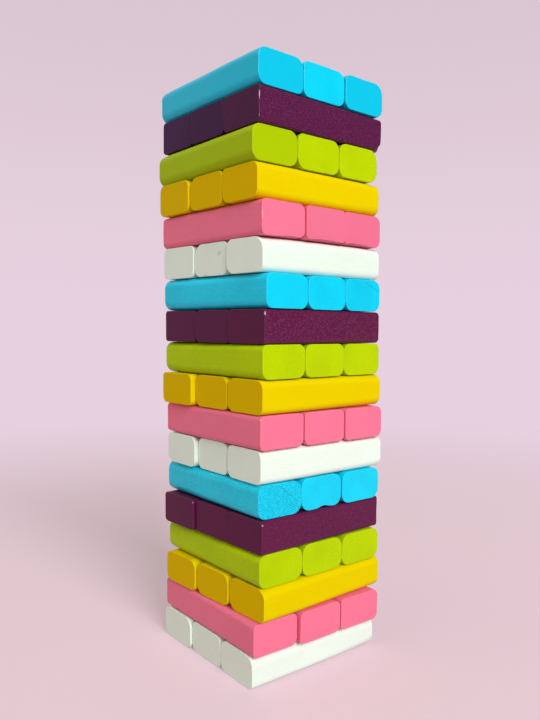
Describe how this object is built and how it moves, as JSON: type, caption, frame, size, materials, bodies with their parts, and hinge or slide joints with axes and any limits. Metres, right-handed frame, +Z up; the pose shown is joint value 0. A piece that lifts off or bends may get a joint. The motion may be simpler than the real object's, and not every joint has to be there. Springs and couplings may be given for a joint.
{
  "type": "tumbling tower game",
  "caption": "Tall crosswise stack of rounded, brightly painted wooden blocks, from which each block slides out along its own length.",
  "frame": {"origin": "middle of the underside of the bottom row's middle block, where the tower stands", "axes": "+Z up the tower; odd rows, counted from one at the bottom, run along X and even rows along Y, each turned by a degree or two as it was laid"},
  "size_m": [0.0808, 0.0809, 0.2725],
  "materials": {
    "ivory": "satin",
    "pink": "satin",
    "yellow": "satin",
    "lime": "satin",
    "purple": "satin",
    "cyan": "satin"
  },
  "bodies": {
    "row01_ivory_front": {"row01_ivory_front": "ivory"},
    "row01_ivory_middle": {"row01_ivory_middle": "ivory"},
    "row01_ivory_back": {"row01_ivory_back": "ivory"},
    "row02_pink_left": {"row02_pink_left": "pink"},
    "row02_pink_middle": {"row02_pink_middle": "pink"},
    "row02_pink_right": {"row02_pink_right": "pink"},
    "row03_yellow_front": {"row03_yellow_front": "yellow"},
    "row03_yellow_middle": {"row03_yellow_middle": "yellow"},
    "row03_yellow_back": {"row03_yellow_back": "yellow"},
    "row04_lime_left": {"row04_lime_left": "lime"},
    "row04_lime_middle": {"row04_lime_middle": "lime"},
    "row04_lime_right": {"row04_lime_right": "lime"},
    "row05_purple_front": {"row05_purple_front": "purple"},
    "row05_purple_middle": {"row05_purple_middle": "purple"},
    "row05_purple_back": {"row05_purple_back": "purple"},
    "row06_cyan_left": {"row06_cyan_left": "cyan"},
    "row06_cyan_middle": {"row06_cyan_middle": "cyan"},
    "row06_cyan_right": {"row06_cyan_right": "cyan"},
    "row07_ivory_front": {"row07_ivory_front": "ivory"},
    "row07_ivory_middle": {"row07_ivory_middle": "ivory"},
    "row07_ivory_back": {"row07_ivory_back": "ivory"},
    "row08_pink_left": {"row08_pink_left": "pink"},
    "row08_pink_middle": {"row08_pink_middle": "pink"},
    "row08_pink_right": {"row08_pink_right": "pink"},
    "row09_yellow_front": {"row09_yellow_front": "yellow"},
    "row09_yellow_middle": {"row09_yellow_middle": "yellow"},
    "row09_yellow_back": {"row09_yellow_back": "yellow"},
    "row10_lime_left": {"row10_lime_left": "lime"},
    "row10_lime_middle": {"row10_lime_middle": "lime"},
    "row10_lime_right": {"row10_lime_right": "lime"},
    "row11_purple_front": {"row11_purple_front": "purple"},
    "row11_purple_middle": {"row11_purple_middle": "purple"},
    "row11_purple_back": {"row11_purple_back": "purple"},
    "row12_cyan_left": {"row12_cyan_left": "cyan"},
    "row12_cyan_middle": {"row12_cyan_middle": "cyan"},
    "row12_cyan_right": {"row12_cyan_right": "cyan"},
    "row13_ivory_front": {"row13_ivory_front": "ivory"},
    "row13_ivory_middle": {"row13_ivory_middle": "ivory"},
    "row13_ivory_back": {"row13_ivory_back": "ivory"},
    "row14_pink_left": {"row14_pink_left": "pink"},
    "row14_pink_middle": {"row14_pink_middle": "pink"},
    "row14_pink_right": {"row14_pink_right": "pink"},
    "row15_yellow_front": {"row15_yellow_front": "yellow"},
    "row15_yellow_middle": {"row15_yellow_middle": "yellow"},
    "row15_yellow_back": {"row15_yellow_back": "yellow"},
    "row16_lime_left": {"row16_lime_left": "lime"},
    "row16_lime_middle": {"row16_lime_middle": "lime"},
    "row16_lime_right": {"row16_lime_right": "lime"},
    "row17_purple_front": {"row17_purple_front": "purple"},
    "row17_purple_middle": {"row17_purple_middle": "purple"},
    "row17_purple_back": {"row17_purple_back": "purple"},
    "row18_cyan_left": {"row18_cyan_left": "cyan"},
    "row18_cyan_middle": {"row18_cyan_middle": "cyan"},
    "row18_cyan_right": {"row18_cyan_right": "cyan"}
  },
  "joints": [
    {"name": "row01_ivory_front_slide", "type": "slide", "parent": "row01_ivory_middle", "child": "row01_ivory_front", "axis": [0.9992, -0.0393, 0], "range_m": [-0.08, 0.08]},
    {"name": "row01_ivory_back_slide", "type": "slide", "parent": "row01_ivory_middle", "child": "row01_ivory_back", "axis": [0.9992, -0.0393, 0], "range_m": [-0.08, 0.08]},
    {"name": "row02_pink_left_slide", "type": "slide", "parent": "row01_ivory_middle", "child": "row02_pink_left", "axis": [0.0349, 0.9994, 0], "range_m": [-0.08, 0.08]},
    {"name": "row02_pink_middle_slide", "type": "slide", "parent": "row01_ivory_middle", "child": "row02_pink_middle", "axis": [0.0349, 0.9994, 0], "range_m": [-0.08, 0.08]},
    {"name": "row02_pink_right_slide", "type": "slide", "parent": "row01_ivory_middle", "child": "row02_pink_right", "axis": [0.0349, 0.9994, 0], "range_m": [-0.08, 0.08]},
    {"name": "row03_yellow_front_slide", "type": "slide", "parent": "row01_ivory_middle", "child": "row03_yellow_front", "axis": [0.9999, 0.0131, 0], "range_m": [-0.08, 0.08]},
    {"name": "row03_yellow_middle_slide", "type": "slide", "parent": "row01_ivory_middle", "child": "row03_yellow_middle", "axis": [0.9999, 0.0131, 0], "range_m": [-0.08, 0.08]},
    {"name": "row03_yellow_back_slide", "type": "slide", "parent": "row01_ivory_middle", "child": "row03_yellow_back", "axis": [0.9999, 0.0131, 0], "range_m": [-0.08, 0.08]},
    {"name": "row04_lime_left_slide", "type": "slide", "parent": "row01_ivory_middle", "child": "row04_lime_left", "axis": [0.0218, 0.9998, 0], "range_m": [-0.08, 0.08]},
    {"name": "row04_lime_middle_slide", "type": "slide", "parent": "row01_ivory_middle", "child": "row04_lime_middle", "axis": [0.0218, 0.9998, 0], "range_m": [-0.08, 0.08]},
    {"name": "row04_lime_right_slide", "type": "slide", "parent": "row01_ivory_middle", "child": "row04_lime_right", "axis": [0.0218, 0.9998, 0], "range_m": [-0.08, 0.08]},
    {"name": "row05_purple_front_slide", "type": "slide", "parent": "row01_ivory_middle", "child": "row05_purple_front", "axis": [0.9999, 0.0131, 0], "range_m": [-0.08, 0.08]},
    {"name": "row05_purple_middle_slide", "type": "slide", "parent": "row01_ivory_middle", "child": "row05_purple_middle", "axis": [0.9999, 0.0131, 0], "range_m": [-0.08, 0.08]},
    {"name": "row05_purple_back_slide", "type": "slide", "parent": "row01_ivory_middle", "child": "row05_purple_back", "axis": [0.9999, 0.0131, 0], "range_m": [-0.08, 0.08]},
    {"name": "row06_cyan_left_slide", "type": "slide", "parent": "row01_ivory_middle", "child": "row06_cyan_left", "axis": [0.0262, 0.9997, 0], "range_m": [-0.08, 0.08]},
    {"name": "row06_cyan_middle_slide", "type": "slide", "parent": "row01_ivory_middle", "child": "row06_cyan_middle", "axis": [0.0262, 0.9997, 0], "range_m": [-0.08, 0.08]},
    {"name": "row06_cyan_right_slide", "type": "slide", "parent": "row01_ivory_middle", "child": "row06_cyan_right", "axis": [0.0262, 0.9997, 0], "range_m": [-0.08, 0.08]},
    {"name": "row07_ivory_front_slide", "type": "slide", "parent": "row01_ivory_middle", "child": "row07_ivory_front", "axis": [0.9997, -0.0262, 0], "range_m": [-0.08, 0.08]},
    {"name": "row07_ivory_middle_slide", "type": "slide", "parent": "row01_ivory_middle", "child": "row07_ivory_middle", "axis": [0.9997, -0.0262, 0], "range_m": [-0.08, 0.08]},
    {"name": "row07_ivory_back_slide", "type": "slide", "parent": "row01_ivory_middle", "child": "row07_ivory_back", "axis": [0.9997, -0.0262, 0], "range_m": [-0.08, 0.08]},
    {"name": "row08_pink_left_slide", "type": "slide", "parent": "row01_ivory_middle", "child": "row08_pink_left", "axis": [0.0087, 1, 0], "range_m": [-0.08, 0.08]},
    {"name": "row08_pink_middle_slide", "type": "slide", "parent": "row01_ivory_middle", "child": "row08_pink_middle", "axis": [0.0087, 1, 0], "range_m": [-0.08, 0.08]},
    {"name": "row08_pink_right_slide", "type": "slide", "parent": "row01_ivory_middle", "child": "row08_pink_right", "axis": [0.0087, 1, 0], "range_m": [-0.08, 0.08]},
    {"name": "row09_yellow_front_slide", "type": "slide", "parent": "row01_ivory_middle", "child": "row09_yellow_front", "axis": [1, 0.0044, 0], "range_m": [-0.08, 0.08]},
    {"name": "row09_yellow_middle_slide", "type": "slide", "parent": "row01_ivory_middle", "child": "row09_yellow_middle", "axis": [1, 0.0044, 0], "range_m": [-0.08, 0.08]},
    {"name": "row09_yellow_back_slide", "type": "slide", "parent": "row01_ivory_middle", "child": "row09_yellow_back", "axis": [1, 0.0044, 0], "range_m": [-0.08, 0.08]},
    {"name": "row10_lime_left_slide", "type": "slide", "parent": "row01_ivory_middle", "child": "row10_lime_left", "axis": [-0.0131, 0.9999, 0], "range_m": [-0.08, 0.08]},
    {"name": "row10_lime_middle_slide", "type": "slide", "parent": "row01_ivory_middle", "child": "row10_lime_middle", "axis": [-0.0131, 0.9999, 0], "range_m": [-0.08, 0.08]},
    {"name": "row10_lime_right_slide", "type": "slide", "parent": "row01_ivory_middle", "child": "row10_lime_right", "axis": [-0.0131, 0.9999, 0], "range_m": [-0.08, 0.08]},
    {"name": "row11_purple_front_slide", "type": "slide", "parent": "row01_ivory_middle", "child": "row11_purple_front", "axis": [0.9994, 0.0349, 0], "range_m": [-0.08, 0.08]},
    {"name": "row11_purple_middle_slide", "type": "slide", "parent": "row01_ivory_middle", "child": "row11_purple_middle", "axis": [0.9994, 0.0349, 0], "range_m": [-0.08, 0.08]},
    {"name": "row11_purple_back_slide", "type": "slide", "parent": "row01_ivory_middle", "child": "row11_purple_back", "axis": [0.9994, 0.0349, 0], "range_m": [-0.08, 0.08]},
    {"name": "row12_cyan_left_slide", "type": "slide", "parent": "row01_ivory_middle", "child": "row12_cyan_left", "axis": [-0.0436, 0.999, 0], "range_m": [-0.08, 0.08]},
    {"name": "row12_cyan_middle_slide", "type": "slide", "parent": "row01_ivory_middle", "child": "row12_cyan_middle", "axis": [-0.0436, 0.999, 0], "range_m": [-0.08, 0.08]},
    {"name": "row12_cyan_right_slide", "type": "slide", "parent": "row01_ivory_middle", "child": "row12_cyan_right", "axis": [-0.0436, 0.999, 0], "range_m": [-0.08, 0.08]},
    {"name": "row13_ivory_front_slide", "type": "slide", "parent": "row01_ivory_middle", "child": "row13_ivory_front", "axis": [0.9997, 0.0262, 0], "range_m": [-0.08, 0.08]},
    {"name": "row13_ivory_middle_slide", "type": "slide", "parent": "row01_ivory_middle", "child": "row13_ivory_middle", "axis": [0.9997, 0.0262, 0], "range_m": [-0.08, 0.08]},
    {"name": "row13_ivory_back_slide", "type": "slide", "parent": "row01_ivory_middle", "child": "row13_ivory_back", "axis": [0.9997, 0.0262, 0], "range_m": [-0.08, 0.08]},
    {"name": "row14_pink_left_slide", "type": "slide", "parent": "row01_ivory_middle", "child": "row14_pink_left", "axis": [-0.0218, 0.9998, 0], "range_m": [-0.08, 0.08]},
    {"name": "row14_pink_middle_slide", "type": "slide", "parent": "row01_ivory_middle", "child": "row14_pink_middle", "axis": [-0.0218, 0.9998, 0], "range_m": [-0.08, 0.08]},
    {"name": "row14_pink_right_slide", "type": "slide", "parent": "row01_ivory_middle", "child": "row14_pink_right", "axis": [-0.0218, 0.9998, 0], "range_m": [-0.08, 0.08]},
    {"name": "row15_yellow_front_slide", "type": "slide", "parent": "row01_ivory_middle", "child": "row15_yellow_front", "axis": [1, 0, 0], "range_m": [-0.08, 0.08]},
    {"name": "row15_yellow_middle_slide", "type": "slide", "parent": "row01_ivory_middle", "child": "row15_yellow_middle", "axis": [1, 0, 0], "range_m": [-0.08, 0.08]},
    {"name": "row15_yellow_back_slide", "type": "slide", "parent": "row01_ivory_middle", "child": "row15_yellow_back", "axis": [1, 0, 0], "range_m": [-0.08, 0.08]},
    {"name": "row16_lime_left_slide", "type": "slide", "parent": "row01_ivory_middle", "child": "row16_lime_left", "axis": [0.0175, 0.9998, 0], "range_m": [-0.08, 0.08]},
    {"name": "row16_lime_middle_slide", "type": "slide", "parent": "row01_ivory_middle", "child": "row16_lime_middle", "axis": [0.0175, 0.9998, 0], "range_m": [-0.08, 0.08]},
    {"name": "row16_lime_right_slide", "type": "slide", "parent": "row01_ivory_middle", "child": "row16_lime_right", "axis": [0.0175, 0.9998, 0], "range_m": [-0.08, 0.08]},
    {"name": "row17_purple_front_slide", "type": "slide", "parent": "row01_ivory_middle", "child": "row17_purple_front", "axis": [1, 0, 0], "range_m": [-0.08, 0.08]},
    {"name": "row17_purple_middle_slide", "type": "slide", "parent": "row01_ivory_middle", "child": "row17_purple_middle", "axis": [1, 0, 0], "range_m": [-0.08, 0.08]},
    {"name": "row17_purple_back_slide", "type": "slide", "parent": "row01_ivory_middle", "child": "row17_purple_back", "axis": [1, 0, 0], "range_m": [-0.08, 0.08]},
    {"name": "row18_cyan_left_lift", "type": "slide", "parent": "row01_ivory_middle", "child": "row18_cyan_left", "axis": [0, 0, 1], "range_m": [0, 0.06]},
    {"name": "row18_cyan_middle_lift", "type": "slide", "parent": "row01_ivory_middle", "child": "row18_cyan_middle", "axis": [0, 0, 1], "range_m": [0, 0.06]},
    {"name": "row18_cyan_right_lift", "type": "slide", "parent": "row01_ivory_middle", "child": "row18_cyan_right", "axis": [0, 0, 1], "range_m": [0, 0.06]}
  ]
}
